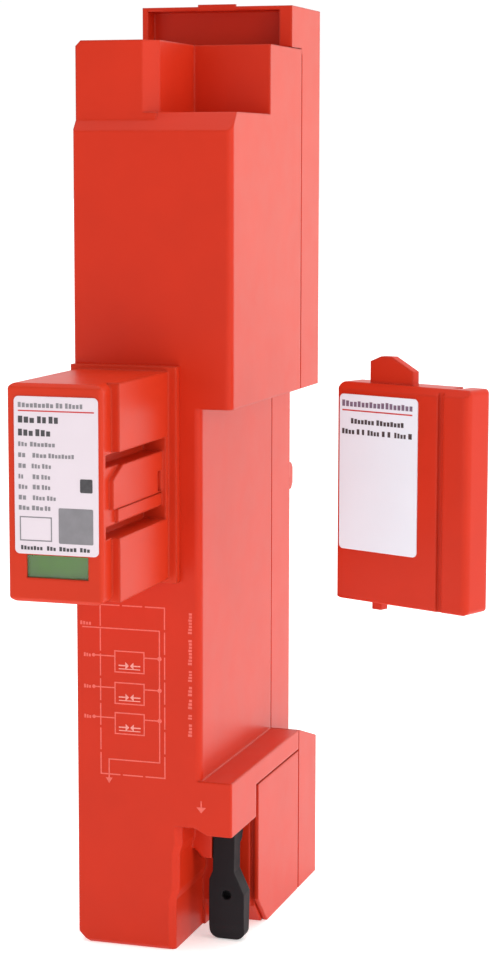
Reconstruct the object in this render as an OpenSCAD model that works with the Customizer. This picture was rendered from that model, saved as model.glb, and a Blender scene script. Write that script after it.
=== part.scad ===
// Busbar surge arrester with a display nose, a lever terminal and a loose cover cap.
// All lengths are in millimetres. The pieces are laid out from the body's front left bottom
// corner (X right, Y back, Z up), then moved so that the origin lies on the busbar seat.

/* [Body] */
// Width over the upper block and the terminal
body_w = 36; // [35:0.5:40]
// Width of the slim middle section
mid_w = 29; // [28:0.5:31]
// Depth of the front shell, from the front face to the seam
front_d = 52.5; // [50:0.5:60]
// Depth of the rear shell, from the seam to the busbar seat
rear_d = 15.5; // [15:0.5:20]
// Height of the tower and the upper block
block_top = 199.5; // [197:0.5:206]
// Height of the upper block's underside
block_under = 121; // [117:0.5:124]
// Height of the terminal's top ledge
ledge_z = 39; // [38:0.5:41]
// Wall thickness of both shells
wall = 2; // [1.6:0.1:2.4]
// Radius of the upper block's and the column's right front edges
edge_r = 1.5; // [0.8:0.1:2]
// Radius of the other upright front edges
left_r = 0.4; // [0.3:0.1:2]
// Width and depth of the groove along the seam
seam_groove = 0.5; // [0.2:0.1:0.8]
// Chamfer of the body's lower left edge
foot_bevel = 2.5; // [1:0.1:3]
// Chamfer along the lower front edge
sill_bevel = 0.8; // [0.4:0.1:1.2]
// Fall of the terminal's top behind the seam
rear_drop = 5; // [2:0.5:7]

/* [Head] */
// Width of the tower beside the corner notch
tower_w = 18.2; // [16:0.1:20]
// Setback of the tower's front
tower_set = 1.9; // [1:0.1:3]
// Chamfer of the tower's upright inner edge
tower_bevel = 3; // [1:0.1:4]
// Chamfer of the tower's upper left edge
tower_crown = 1.2; // [0.5:0.1:2]
// Height of the corner notch's floor
notch_floor = 184.2; // [182:0.1:188]
// Depth of the corner notch
notch_d = 27.7; // [22:0.1:34]
// Depth of the slope over the front face
brow_d = 3.2; // [2:0.1:4]
// Height of the slope over the front face
brow_h = 4; // [3:0.1:5]
// Height of the hood above the upper block
hood_h = 9.5; // [7:0.1:12]
// Reach of the hood forward over the seam
hood_reach = 8; // [6:0.1:10]
// Thickness of the hood's right post
hood_post = 3; // [2:0.1:4]
// Thickness of the hood's left post
hood_post_left = 1.3; // [1:0.1:3]
// Thickness of the hood's top
hood_roof = 0.9; // [0.8:0.1:2]
// Depth of the hood's front recess
hood_recess = 4.5; // [2:0.1:6]
// Width of the grip ridge on the hood
ridge_w = 9; // [6:0.5:14]
// Height of the grip ridge on the hood
ridge_h = 0.5; // [0.3:0.1:1]

/* [Nose] */
// Height of the nose's lower face above the foot
nose_z = 84.2; // [82:0.1:88]
// Front height of the nose
nose_h = 45; // [44:0.5:46]
// Reach of the nose in front of the body
nose_reach = 37.3; // [34:0.1:42]
// Width of the nose's front face
nose_w = 20.5; // [19:0.1:22]
// Wall thickness of the nose
nose_wall = 1.8; // [1.4:0.1:2.2]
// Radius of the nose's edges
nose_r = 1.6; // [0.8:0.1:2.5]
// Thickness of the pads on the nose's right side
pad_t = 1.8; // [1.4:0.1:2.4]
// Setback of the pads from the nose's front
pad_set = 5.3; // [3:0.1:8]
// Depth of the flange at the nose's root
flange_d = 2.2; // [1.5:0.1:5]
// Lip of the flange above and below the nose
flange_lip = 1; // [0.5:0.1:1.5]
// Lip of the flange on the right of the pads
flange_side = 1.9; // [1:0.1:2.2]
// Height of the grooves between the pads
groove_h = 3; // [2.4:0.1:3.6]
// Lower edge of the upper groove above the nose's lower face
upper_groove = 28; // [26:0.1:30]
// Lower edge of the lower groove above the nose's lower face
lower_groove = 13.3; // [12:0.1:15]
// Distance of the grooves' rear ends from the flange
groove_stop = 1.4; // [0.8:0.1:4]
// Height of the recess at the foot of each groove
slot_h = 2.6; // [1:0.1:2.8]
// Setback of the recesses from the nose's front
slot_set = 2; // [1.9:0.1:6]
// Depth of the recesses behind the flag
slot_d = 3.4; // [2:0.1:3.6]
// Thickness of the tongue and of the lip under it
tongue_t = 1; // [0.8:0.1:1.3]
// Setback of the tongue from the nose's front
tongue_set = 3.8; // [3:0.1:6]
// Length of the slope at the tongue's upper front corner
tongue_slope = 5.8; // [2:0.1:8]
// Height of the slope at the tongue's upper front corner
tongue_fall = 2.6; // [1:0.1:3]
// Height of the lip under the tongue
tongue_lip = 2.7; // [1.5:0.1:3]
// Width of the cut between the tongue and its lip
tongue_cut = 0.3; // [0.2:0.1:0.8]

/* [Labels and window] */
// Distance of the nose label and the window right of the nose's middle
face_off = 0.4; // [0:0.1:0.6]
// Width of the nose label
label_w = 18.2; // [15:0.1:19]
// Height of the nose label
label_h = 32.3; // [28:0.1:34]
// Distance of the label from the nose's upper face
label_top = 2.6; // [2:0.1:4]
// Thickness of the labels
label_t = 0.3; // [0.2:0.05:0.5]
// Corner radius of the labels
label_r = 1; // [0.5:0.1:2]
// Width of the status window
window_w = 13.5; // [10:0.1:14]
// Height of the status window
window_h = 4.8; // [4:0.1:5.5]
// Thickness of the window pane
pane_t = 1.2; // [0.8:0.1:1.4]

/* [Indicator] */
// Thickness of the flag and of the fault plate
flag_t = 1; // [0.8:0.1:1.5]
// Travel of the flag
flag_travel = 5.6; // [5:0.1:7]
// Thickness of the flag's arm
arm_t = 4; // [3:0.1:5]
// Width of the trip bar and the flag's arm
trip_w = 3; // [2:0.1:4]
// Depth of the trip bar
trip_d = 4; // [3.6:0.1:5]
// Length of the trip spring
trip_spring_l = 11.6; // [10:0.1:14]
// Mean radius of the trip spring's coil
trip_spring_r = 1.4; // [1:0.1:1.6]
// Radius of the spring wire
wire_r = 0.3; // [0.2:0.05:0.4]

/* [Terminal] */
// Width of the lever channel, up to the body's right side
channel_w = 11.9; // [11.4:0.1:12.6]
// Depth of the lever channel
channel_d = 20; // [19:0.1:21]
// Height of the lever channel
channel_h = 26.9; // [26.5:0.1:28]
// Depth of the channel in front of the pin's boss
mouth_d = 10; // [9:0.1:10.5]
// Reach of the pin's boss from the channel's left wall
mouth_step = 4; // [3.4:0.1:4.6]
// Width of the slope along the channel's left front edge
mouth_bevel = 1.4; // [1:0.1:1.6]
// Depth of the slope along the channel's left front edge
mouth_slope = 1.4; // [0.8:0.1:1.6]
// Thickness of the terminal's floor
floor_t = 10; // [9:0.5:12]
// Slope at the foot of the channel's back wall
heel_bevel = 6; // [3:0.1:7]
// Radius of the earth conductor's entry
entry_r = 4.5; // [3.5:0.1:5]
// Distance of the earth conductor's entry from the wall behind the lever channel
entry_set = 7.3; // [6.5:0.1:10]
// Thickness of the terminal cover
cover_t = 1; // [0.8:0.1:1.5]
// Width of the gap in front of the terminal cover
cover_gap = 1.8; // [1:0.1:2.2]
// Height of the terminal cover
cover_h = 33.9; // [31:0.1:35]
// Slope of the terminal cover's lower front corner
cover_bevel = 7; // [4:0.1:10]

/* [Lever] */
// Distance of the lever's pin from the channel's back wall
pin_set = 7; // [6:0.1:7.5]
// Distance of the lever's pin from the channel's ceiling
pin_drop = 2.9; // [2.9:0.1:3.5]
// Radius of the lever's pin
pin_r = 1.5; // [1:0.1:1.8]
// Radius of the lever's barrel
barrel_r = 2.6; // [2.5:0.1:2.6]
// Width of the lever's neck
neck_w = 5; // [4:0.1:5.2]
// Width of the lever's handle
handle_w = 8.2; // [7:0.1:8.6]
// Distance of the handle's middle right of the neck's
handle_off = 0.8; // [0:0.1:1]
// Thickness of the lever's handle
handle_t = 4.6; // [4:0.1:5.5]
// Length of the lever below its pin
lever_l = 23.7; // [22:0.1:23.8]
// Depth of the pin's seat in its boss
pin_seat = 3; // [2.5:0.1:3.2]
// Skin of the lever over the pin's end
pin_skin = 0.8; // [0.6:0.1:1.2]

/* [Busbars] */
// Distance between the middles of the busbars
bar_pitch = 40; // [39:0.5:41]
// Height of a busbar
bar_h = 12; // [11:0.5:13]
// Thickness of a busbar
bar_t = 5; // [4:0.5:6]
// Height of the lowest busbar's middle above the foot
lowest_bar = 51; // [50:0.5:53]
// Thickness of the hooks' lips
hook_t = 2.6; // [2:0.1:3.5]
// Drop of the hooks' lips behind a bar
hook_lip = 3; // [2:0.1:4]
// Height of the hooks' arms
hook_h = 3.5; // [2.5:0.1:4.5]
// Width of a hook
hook_w = 6; // [4:0.1:6.5]
// Distance of the hooks from the sides of the middle section
hook_inset = 1.5; // [1:0.1:2.5]
// Width of a busbar contact
contact_w = 11; // [9:0.1:12]
// Height of a busbar contact
contact_h = 9; // [7:0.1:9.4]
// Thickness of a busbar contact
contact_t = 1.5; // [1:0.1:2]

/* [Latch] */
// Width of the latch slide
latch_w = 10; // [8:0.1:11]
// Thickness of the latch slide
latch_t = 4.5; // [4.2:0.1:5]
// Width of the latch slide's guide flanges
flange_w = 1.4; // [1:0.1:2]
// Thickness of the latch slide's guide flanges
flange_t = 1.6; // [1.2:0.1:2]
// Travel of the latch slide
latch_travel = 4.5; // [4:0.1:5]
// Height of the latch slide's foot above the body's foot
latch_foot = 1.5; // [1:0.1:3]
// Length of the latch spring
latch_spring_l = 14; // [12:0.1:16]
// Mean radius of the latch spring's coil
latch_spring_r = 1.2; // [1:0.1:1.3]

/* [Inside] */
// Width of an arrester block
arrester_w = 19.2; // [17:0.1:19.5]
// Depth of an arrester block
arrester_d = 34; // [30:0.1:36]
// Height of an arrester block
arrester_h = 30; // [26:0.1:32]
// Distance of the blocks from the front wall
arrester_set = 6.2; // [5.5:0.1:7]
// Thickness of the straps and the common rail
strap_t = 1.6; // [1.2:0.1:2]
// Depth of the common rail
rail_d = 8; // [6:0.1:10]
// Width of the clamp cage
cage_size = 8.6; // [7:0.1:9]
// Height of the clamp cage
cage_h = 13; // [11:0.1:14]
// Wall thickness of the clamp cage
cage_wall = 1.2; // [1:0.1:1.5]
// Thickness of the clamp spring
leaf_t = 0.7; // [0.5:0.1:1]

/* [Cap] */
// Width of the cap
cap_w = 34.4; // [34:0.1:38]
// Width of the cap's label panel
cap_panel_w = 26.6; // [25:0.1:28]
// Height of the cap
cap_h = 47.2; // [45:0.1:48]
// Depth of the cap
cap_d = 7.4; // [7:0.1:9]
// Thickness of the cap's sides
cap_wall = 1.4; // [1:0.1:1.6]
// Thickness of the cap's front
cap_face = 1.7; // [1.4:0.1:2]
// Corner radius of the cap
cap_r = 1; // [0.5:0.1:1.5]
// Width of the groove beside the label panel
cap_groove_w = 1.4; // [0.6:0.1:2]
// Depth of the groove beside the label panel
cap_groove = 0.7; // [0.4:0.1:0.9]
// Slope along the cap's upper front edge
cap_brow = 1.5; // [1:0.1:2.4]
// Width of the cap's snap tab
tab_w = 11.4; // [10:0.1:15]
// Height of the cap's snap tab
tab_h = 5.8; // [5:0.1:8]
// Thickness of the cap's snap tab
tab_t = 2; // [1.5:0.1:3]
// Distance of the snap tab from the cap's left side
tab_x = 7; // [6:0.1:11]
// Width of the cap's label
cap_label_w = 20.8; // [18:0.1:23]
// Height of the cap's label
cap_label_h = 33.6; // [30:0.1:34]
// Distance of the cap's label from the cap's upper face
cap_label_top = 2.5; // [2:0.1:4]
// Distance of the cap's front left edge from the body's right side
cap_off = 20.4; // [15:0.1:30]
// Distance of the cap's front left edge behind the body's front
cap_back = 11.1; // [0:0.1:20]
// Height of the cap's lower face above the body's foot
cap_rise = 79.7; // [60:0.1:100]
// Turn of the cap about the vertical
cap_turn = -23.5; // [-40:0.5:0]

/* [Fits] */
// Clearance round a seated piece
fit = 0.2; // [0.1:0.05:0.3]
// Clearance round a sliding piece
slide_fit = 0.3; // [0.2:0.05:0.4]
// Radial clearance of the lever on its pin
run_fit = 0.06; // [0.03:0.01:0.1]

/* [Hidden] */
$fn = 48;
over = 1;
body_d = front_d + rear_d;
bar_mid = lowest_bar + 1.5 * bar_pitch;
bar_z = [for (i = [0:3]) lowest_bar + i * bar_pitch];
body_top = block_top + hood_h;
brow_z = notch_floor - brow_h;
brow_at_tower = brow_z + brow_h * tower_set / brow_d;
mid_x = mid_w / 2;

// Left wall of the lever channel: how far it steps left at each height
channel_steps = [[1.4, 0], [1.4, 11.3], [0.6, 13.7], [0.6, 21.9], [0, 23.9]];
channel_rise = 1.5;
channel_top = channel_h + channel_rise;
channel_x = body_w - channel_w;
column_in = channel_x - channel_steps[0][0] - mouth_bevel - wall;
cover_x = body_w - cover_t;
term_in = cover_x - fit - wall;
term_y = channel_d + wall;
entry_x = (column_in + wall + cover_x) / 2;
entry_y = term_y + entry_r + entry_set;

pin_y = channel_d - pin_set;
pin_z = channel_h - pin_drop;
neck_gap = neck_w / 2 + slide_fit;
neck_wall = channel_x + mouth_step;
lever_x = neck_wall + neck_gap;
pin_left = neck_wall - pin_seat;
pin_right = lever_x + neck_w / 2 - pin_skin - slide_fit;

nose_front = -nose_reach;
nose_top = nose_z + nose_h;
pad_x = nose_w + pad_t;
tongue_x = nose_w + tongue_t;
tongue_front = nose_front + tongue_set;
pad_front = nose_front + pad_set;
groove_back = -flange_d - groove_stop;
label_z = nose_top - label_top - label_h;
label_x = (nose_w - label_w) / 2 + face_off;
window_x = (nose_w - window_w) / 2 + face_off;
window_z = label_z - window_h - fit;
pane_set = 0.3;
flag_y = nose_front + nose_wall + fit;
fault_y = flag_y + flag_t + slide_fit;
slot_front = fault_y + flag_t + slide_fit + nose_wall / 2;
flag_lap = 0.5;
fault_h = window_h + 2 * flag_lap;
arm_z = window_z + fault_h + slide_fit;

trip_x = nose_w / 2 - trip_w / 2;
trip_y = wall + slide_fit;
arrester_x = wall + fit;
arrester_y = wall + arrester_set;
trip_foot = bar_z[0] - arrester_h / 2;
trip_head = bar_z[2] + arrester_h / 4;
finger_h = 4;

rail_x = arrester_x + arrester_w + fit;
rail_y = arrester_y + arrester_d - rail_d;
link_y = arrester_y + arrester_d + fit;
leg_y = link_y + strap_t + fit;
contact_x = mid_x - contact_w / 2;
contact_gap = 0.1;

hook_gap = bar_t + fit;
latch_x = mid_x - latch_w / 2;
latch_face = body_d - slide_fit;
latch_in = latch_face - latch_t;
latch_top = bar_z[0] - bar_h / 2 - fit;
guide_in = latch_in - slide_fit;
latch_stop_z = 10;
stop_h = 2;
flange_foot = latch_foot + latch_travel + stop_h + wall;
pocket_w = 2 * (latch_spring_r + wire_r + slide_fit);
latch_skin = 1;

cage_x = entry_x - cage_size / 2;
cage_y = entry_y - cage_size / 2 - cage_wall;
cage_d = cage_size + strap_t + 2 * cage_wall;
bar_in_y = cage_y + cage_d - cage_wall - fit - strap_t;
strap_foot = floor_t + cage_h + 2 * fit;
strap_top = strap_foot + 6;
rail_foot = strap_top + fit;

house_red = [0.80, 0.17, 0.12];
nose_red = [0.84, 0.19, 0.13];
black = [0.14, 0.13, 0.14];
white = [0.91, 0.90, 0.93];
green = [0.38, 0.55, 0.28];
clear = [0.85, 0.92, 0.88, 0.4];
copper = [0.72, 0.45, 0.28];
steel = [0.72, 0.73, 0.75];
ceramic = [0.45, 0.46, 0.48];

// Moves a piece from the body's front left bottom corner to the busbar seat
module in_frame() {
    translate([-body_w / 2, -body_d, -bar_mid]) children();
}

// Box between two corners
module block(x0, x1, y0, y1, z0, z1) {
    translate([x0, y0, z0]) cube([x1 - x0, y1 - y0, z1 - z0]);
}

// Outline drawn in X and Z, extruded from y0 to y1
module along_y(y0, y1) {
    translate([0, y1, 0]) rotate([90, 0, 0]) linear_extrude(y1 - y0) children();
}

// Outline drawn in Y and Z, extruded from x0 to x1
module along_x(x0, x1) {
    translate([x0, 0, 0]) rotate([90, 0, 90]) linear_extrude(x1 - x0) children();
}

// Rectangle with all four corners rounded
module rounded_rect(w, h, r) {
    translate([r, 0]) square([w - 2 * r, h]);
    translate([0, r]) square([w, h - 2 * r]);
    for (x = [r, w - r], y = [r, h - r]) translate([x, y]) circle(r);
}

// Rectangle with its two front corners rounded, the left one by its own radius
module front_rounded(w, d, left, right) {
    translate([0, left]) square([w - right, d - left]);
    translate([left, right]) square([w - left, d - right]);
    translate([left, 0]) square([w - left - right, left + right]);
    translate([left, left]) circle(left);
    translate([w - right, right]) circle(right);
}

// Round wire wound as an open coil along Z, starting at the origin
module coil(coil_r, length, turns) {
    sides = 6;
    turn_steps = 14;
    steps = turns * turn_steps;
    rise = (length - 2 * wire_r) / steps;
    points = [
        for (i = [0:steps], j = [0:sides - 1])
            let (a = i * 360 / turn_steps, b = j * 360 / sides, r = coil_r + wire_r * cos(b))
                [r * cos(a), r * sin(a), wire_r + i * rise + wire_r * sin(b)]
    ];
    walls = [
        for (i = [0:steps - 1], j = [0:sides - 1])
            let (k = (j + 1) % sides)
                [i * sides + j, i * sides + k, (i + 1) * sides + k, (i + 1) * sides + j]
    ];
    start = [for (j = [sides - 1:-1:0]) j];
    end = [for (j = [0:sides - 1]) steps * sides + j];
    polyhedron(points, concat([start], walls, [end]));
}

// Front view of the shells at their seam, drawn in by a margin
module shell_outline(margin) {
    polygon([
        [margin, margin],
        [body_w - margin, margin],
        [body_w - margin, ledge_z - margin],
        [mid_w - margin, ledge_z - margin],
        [mid_w - margin, block_under + margin],
        [body_w - margin, block_under + margin],
        [body_w - margin, block_top - margin],
        [margin, block_top - margin]
    ]);
}

// Front view of the lever channel
module channel_outline() {
    left = [for (s = channel_steps) [channel_x - s[0], s[1]]];
    polygon(concat(
        [[body_w + over, -over], [left[0][0], -over]],
        left,
        [
            [channel_x, channel_top], [channel_x + 2.2 * channel_rise, channel_top],
            [channel_x + 4.2 * channel_rise, channel_h], [body_w + over, channel_h]
        ]
    ));
}

// Front shell: column, upper block and terminal, before its cuts
module front_form() {
    linear_extrude(block_under + over) front_rounded(mid_w, front_d, left_r, edge_r);
    linear_extrude(ledge_z) front_rounded(body_w, front_d, left_r, left_r);
    translate([0, 0, block_under])
        linear_extrude(block_top - block_under) front_rounded(body_w, front_d, left_r, edge_r);
}

// Cuts that shape the head: brow, tower, corner notch and tower chamfers
module head_cuts() {
    along_x(-over, body_w + over) polygon([
        [-over, brow_z], [0, brow_z], [tower_set, brow_at_tower],
        [tower_set, block_top + over], [-over, block_top + over]
    ]);
    along_x(tower_w, body_w + over) polygon([
        [-over, brow_z], [0, brow_z], [brow_d, notch_floor], [notch_d, notch_floor],
        [notch_d, block_top + over], [-over, block_top + over]
    ]);
    translate([tower_w, tower_set, notch_floor])
        linear_extrude(block_top - notch_floor + over) polygon([
            [-tower_bevel - over, -over], [over, -over], [over, tower_bevel + over]
        ]);
    along_y(-over, front_d + over) polygon([
        [-over, block_top - tower_crown - over], [tower_crown + over, block_top + over],
        [-over, block_top + over]
    ]);
}

// Cuts at the foot: chamfers, lever channel, cover seat and conductor entry
module foot_cuts() {
    along_y(-over, front_d + over)
        polygon([[-over, foot_bevel + over], [foot_bevel + over, -over], [-over, -over]]);
    along_x(-over, body_w + over)
        polygon([[-over, sill_bevel + over], [sill_bevel + over, -over], [-over, -over]]);
    along_y(-over, channel_d) channel_outline();
    lean = mouth_bevel / mouth_slope;
    multmatrix([[1, lean, 0, -mouth_bevel], [0, 1, 0, 0], [0, 0, 1, 0]])
        along_y(-over, mouth_slope) channel_outline();
    along_x(column_in + 2 * wall, body_w + over) polygon([
        [channel_d - over, heel_bevel + over], [channel_d + heel_bevel + over, -over],
        [channel_d - over, -over]
    ]);
    block(cover_x - fit, body_w + over, channel_d - cover_gap, front_d + over,
          -over, cover_h + seam_groove);
    block(cover_x - wall / 2, body_w + over, channel_d - cover_gap, channel_d + wall / 2,
          -over, cover_h + seam_groove);
    block(cover_x - wall / 2, body_w + over, channel_d, front_d + over,
          cover_h - wall / 2, cover_h + seam_groove);
    translate([entry_x, entry_y, -over]) cylinder(r = entry_r, h = floor_t + 2 * over);
}

// Hollow of the front shell
module front_hollow() {
    rear = front_d + over;
    block(wall, column_in, wall, rear, wall, ledge_z);
    block(wall, mid_w - wall, wall, rear, channel_top + wall, block_under + 2 * wall);
    block(wall, term_in, term_y, rear, floor_t, ledge_z - wall);
    block(wall, body_w - wall, wall, rear, block_under + wall, brow_z);
    block(wall, tower_w - tower_bevel, tower_set + wall, rear, brow_z - over, block_top - wall);
    block(wall, body_w - wall, notch_d + wall, rear, brow_z - over, block_top - wall);
}

// Boss on the left of the lever, with the seat of the lever's pin
module lever_boss() {
    foot = pin_z - 2 * barrel_r;
    difference() {
        along_y(mouth_d, channel_d + over) polygon([
            [channel_x - over, channel_top + over], [channel_x - over, foot + mouth_step / 2],
            [channel_x, foot + mouth_step / 2], [channel_x + mouth_step / 2, foot],
            [neck_wall, foot], [neck_wall, channel_top + over]
        ]);
        translate([pin_left - slide_fit, pin_y, pin_z])
            rotate([0, 90, 0]) cylinder(r = pin_r + run_fit, h = pin_seat + slide_fit + over);
    }
}

// Stepped front shell, open at the seam
module front_housing() {
    shelf_z = trip_foot - fit - trip_spring_l - fit;
    stop_z = trip_head + flag_travel + slide_fit;
    color(house_red) in_frame() {
        difference() {
            front_form();
            head_cuts();
            foot_cuts();
            front_hollow();
            block(
                2 * nose_wall, nose_w - 2 * nose_wall, -over, wall + over,
                nose_z + 2 * nose_wall, nose_top - 2 * nose_wall
            );
        }
        lever_boss();
        for (z = [shelf_z - wall, stop_z])
            block(trip_x - wall, trip_x + trip_w + wall, wall - over, trip_y + trip_d, z, z + wall);
    }
}

// Pair of hooks over the top edge of one bar
module bar_hooks(z) {
    edge = z + bar_h / 2 + fit;
    lip = body_d + hook_gap;
    for (x = [hook_inset, mid_w - hook_inset - hook_w])
        along_x(x, x + hook_w) polygon([
            [body_d - over, edge], [lip, edge], [lip, edge - hook_lip],
            [lip + hook_t / 2, edge - hook_lip], [lip + hook_t, edge - hook_lip + hook_t / 2],
            [lip + hook_t, edge + hook_h - hook_t / 2], [lip + hook_t / 2, edge + hook_h],
            [body_d - over, edge + hook_h]
        ]);
}

// Web and guide flanges of the latch slide, or the slot for them, widened by a clearance
module latch_form(gap, face, foot, flange_z, top) {
    half = latch_w / 2 + gap;
    block(mid_x - half, mid_x + half, latch_in - gap, face, foot, top);
    block(
        mid_x - half - flange_w, mid_x + half + flange_w, latch_in - gap, latch_in + flange_t + gap,
        flange_z, top
    );
}

// Slot of the latch slide, with the ledges that end its travel
module latch_slot() {
    latch_form(
        slide_fit, body_d + over, -over, flange_foot - latch_travel - slide_fit, latch_top + slide_fit
    );
}

// Thick part of the rear wall that guides the latch slide, with the spring's stop
module latch_guide() {
    side = latch_w / 2 + flange_w + slide_fit + wall;
    difference() {
        block(mid_x - side, mid_x + side, guide_in - wall, body_d, 0, latch_top + slide_fit + wall / 2);
        latch_slot();
    }
    block(
        mid_x - latch_spring_r, mid_x + latch_spring_r, guide_in - over,
        latch_face - latch_skin - slide_fit, latch_stop_z, latch_stop_z + stop_h
    );
}

// Hood that leans forward over the front shell's top
module hood() {
    front = front_d - hood_reach;
    difference() {
        union() {
            block(0, body_w, front, body_d, block_top + fit, body_top);
            block(0, body_w, front_d, body_d, block_top - over, body_top);
        }
        block(hood_post_left, body_w - hood_post, front - over, front + hood_recess,
              block_top - over, body_top - hood_roof);
    }
    translate([(body_w - ridge_w) / 2, front, body_top - over])
        cube([ridge_w, hood_roof, ridge_h + over]);
}

// Outline in Y and Z over the falling top of the terminal, lowered by a margin
module over_ledge(margin) {
    start = front_d + seam_groove;
    polygon([
        [start, ledge_z - margin], [body_d + over, ledge_z - rear_drop - margin],
        [body_d + over, ledge_z + over], [start, ledge_z + over]
    ]);
}

// Back shell with the hood, the busbar hooks and the latch guide
module rear_housing() {
    back_wall = body_d - wall;
    color(house_red) in_frame() {
        difference() {
            union() {
                along_y(front_d, body_d) shell_outline(seam_groove);
                along_y(front_d + seam_groove, body_d) shell_outline(0);
                hood();
            }
            difference() {
                along_y(front_d - over, back_wall) shell_outline(wall);
                along_x(mid_w - wall, body_w) over_ledge(wall);
            }
            along_x(mid_w, body_w + over) over_ledge(0);
            along_y(-over, body_d + over)
                polygon([[-over, foot_bevel + over], [foot_bevel + over, -over], [-over, -over]]);
            for (z = bar_z)
                block(
                    contact_x - slide_fit, contact_x + contact_w + slide_fit, back_wall - over,
                    body_d + over, z - contact_h / 2 - slide_fit, z + contact_h / 2 + slide_fit
                );
            latch_slot();
        }
        latch_guide();
        for (i = [1:3]) bar_hooks(bar_z[i]);
    }
}

// Outer form of the nose's core: front, plan and side outlines crossed
module nose_core() {
    intersection() {
        along_y(nose_front, 0) translate([0, nose_z]) rounded_rect(nose_w, nose_h, nose_r);
        translate([0, nose_front, nose_z - over])
            linear_extrude(nose_h + 2 * over)
                front_rounded(nose_w, nose_reach + over, left_r, nose_r / 2);
        along_x(-over, nose_w + over) polygon([
            [nose_front, nose_z + nose_r / 2], [nose_front + nose_r / 2, nose_z], [over, nose_z],
            [over, nose_top], [nose_front + nose_r / 2, nose_top], [nose_front, nose_top - nose_r / 2]
        ]);
    }
}

// Raised tongue between the two grooves, with a slope at its upper front corner
module tongue(z0, z1) {
    along_x(nose_w - nose_wall / 2, tongue_x) polygon([
        [tongue_front, z0], [-flange_d, z0], [-flange_d, z1], [tongue_front + tongue_slope, z1],
        [tongue_front, z1 - tongue_fall]
    ]);
}

// Side pads, tongue and lip on the nose's right side
module nose_pads() {
    upper = nose_z + upper_groove;
    lower = nose_z + lower_groove;
    inner = nose_w - nose_wall / 2;
    lip_top = lower + groove_h + tongue_lip;
    block(inner, pad_x, pad_front, -flange_d, upper + groove_h, nose_top);
    block(inner, pad_x, pad_front, -flange_d, nose_z, lower);
    tongue(lip_top + tongue_cut, upper);
    block(inner, tongue_x - fit, pad_front + pad_t, -flange_d, lower + groove_h, lip_top);
    block(inner, pad_x, groove_back, -flange_d, lower, upper + groove_h);
}

// Recesses at the foot of the grooves and the catch slot in the tongue
module nose_slots() {
    catch_w = 2.2;
    catch_h = 4.4;
    catch_z = nose_z + lower_groove + groove_h + tongue_lip + tongue_cut + fit;
    catch_y = groove_back - catch_w - 4 * fit;
    skin = 0.5;
    for (z = [nose_z + upper_groove, nose_z + lower_groove]) {
        block(
            nose_w - nose_wall + skin, nose_w + fit, nose_front + slot_set, groove_back, z, z + slot_h
        );
        block(nose_w - slot_d, nose_w + fit, slot_front, groove_back, z, z + slot_h);
    }
    block(nose_w, pad_x, catch_y, catch_y + catch_w, catch_z, catch_z + catch_h);
}

// Walls round the recesses inside the nose
module slot_walls() {
    skin = nose_wall / 2;
    for (z = [nose_z + upper_groove, nose_z + lower_groove])
        block(
            nose_w - slot_d - skin, nose_w - skin, slot_front - skin, groove_back + skin,
            z - skin, z + slot_h + skin
        );
}

// Display nose with its flange, hollow from behind
module nose_housing() {
    color(nose_red) in_frame() difference() {
        union() {
            difference() {
                union() {
                    nose_core();
                    nose_pads();
                    block(0, pad_x + flange_side, -flange_d, 0, nose_z - flange_lip, nose_top + flange_lip);
                }
                block(
                    nose_wall, nose_w - nose_wall, nose_front + nose_wall, over,
                    nose_z + nose_wall, nose_top - nose_wall
                );
            }
            slot_walls();
        }
        block(
            window_x, window_x + window_w, nose_front - over, nose_front + nose_wall + over,
            window_z, window_z + window_h
        );
        nose_slots();
    }
}

// White label on the nose's front
module nose_label() {
    color(white) in_frame() along_y(nose_front - label_t, nose_front)
        translate([label_x, label_z]) rounded_rect(label_w, label_h, label_r);
}

// Clear pane in the nose's window
module status_window() {
    color(clear) in_frame() block(
        window_x + fit / 2, window_x + window_w - fit / 2, nose_front + pane_set,
        nose_front + pane_set + pane_t, window_z + fit / 2, window_z + window_h - fit / 2
    );
}

// Green flag behind the pane, with the arm that reaches back to the trip bar
module status_flag() {
    color(green) in_frame() {
        block(
            window_x - flag_lap, window_x + window_w + flag_lap, flag_y, flag_y + flag_t,
            window_z - flag_lap, arm_z + arm_t
        );
        block(trip_x, trip_x + trip_w, flag_y, trip_y, arm_z, arm_z + arm_t);
    }
}

// Fixed red plate behind the flag, held between the nose's side walls
module fault_plate() {
    color(nose_red) in_frame() block(
        nose_wall + fit, nose_w - nose_wall - fit, fault_y, fault_y + flag_t,
        nose_z + nose_wall + fit, window_z + window_h + flag_lap
    );
}

// Upright bar with one finger in front of each arrester block
module trip_bar() {
    color(black) in_frame() {
        block(trip_x, trip_x + trip_w, trip_y, trip_y + trip_d, trip_foot, trip_head);
        for (i = [0:2])
            block(
                trip_x, trip_x + trip_w, trip_y, arrester_y - slide_fit,
                bar_z[i] - finger_h / 2, bar_z[i] + finger_h / 2
            );
    }
}

// Coil spring under the trip bar
module trip_spring() {
    color(steel) in_frame()
        translate([trip_x + trip_w / 2, trip_y + trip_d / 2, trip_foot - fit - trip_spring_l])
            coil(trip_spring_r, trip_spring_l, 7);
}

// Spark gap block with chamfered upright edges and a waist
module arrester(i) {
    bevel = 1.5;
    waist = 0.8;
    w = arrester_w;
    d = arrester_d;
    color(ceramic) in_frame() translate([arrester_x, arrester_y, bar_z[i] - arrester_h / 2]) difference() {
        linear_extrude(arrester_h) polygon([
            [bevel, 0], [w - bevel, 0], [w, bevel], [w, d - bevel],
            [w - bevel, d], [bevel, d], [0, d - bevel], [0, bevel]
        ]);
        for (z = [arrester_h / 4, 3 * arrester_h / 4])
            translate([-over, -over, z - waist]) cube([w + 2 * over, waist + over, 2 * waist]);
    }
}

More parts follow.
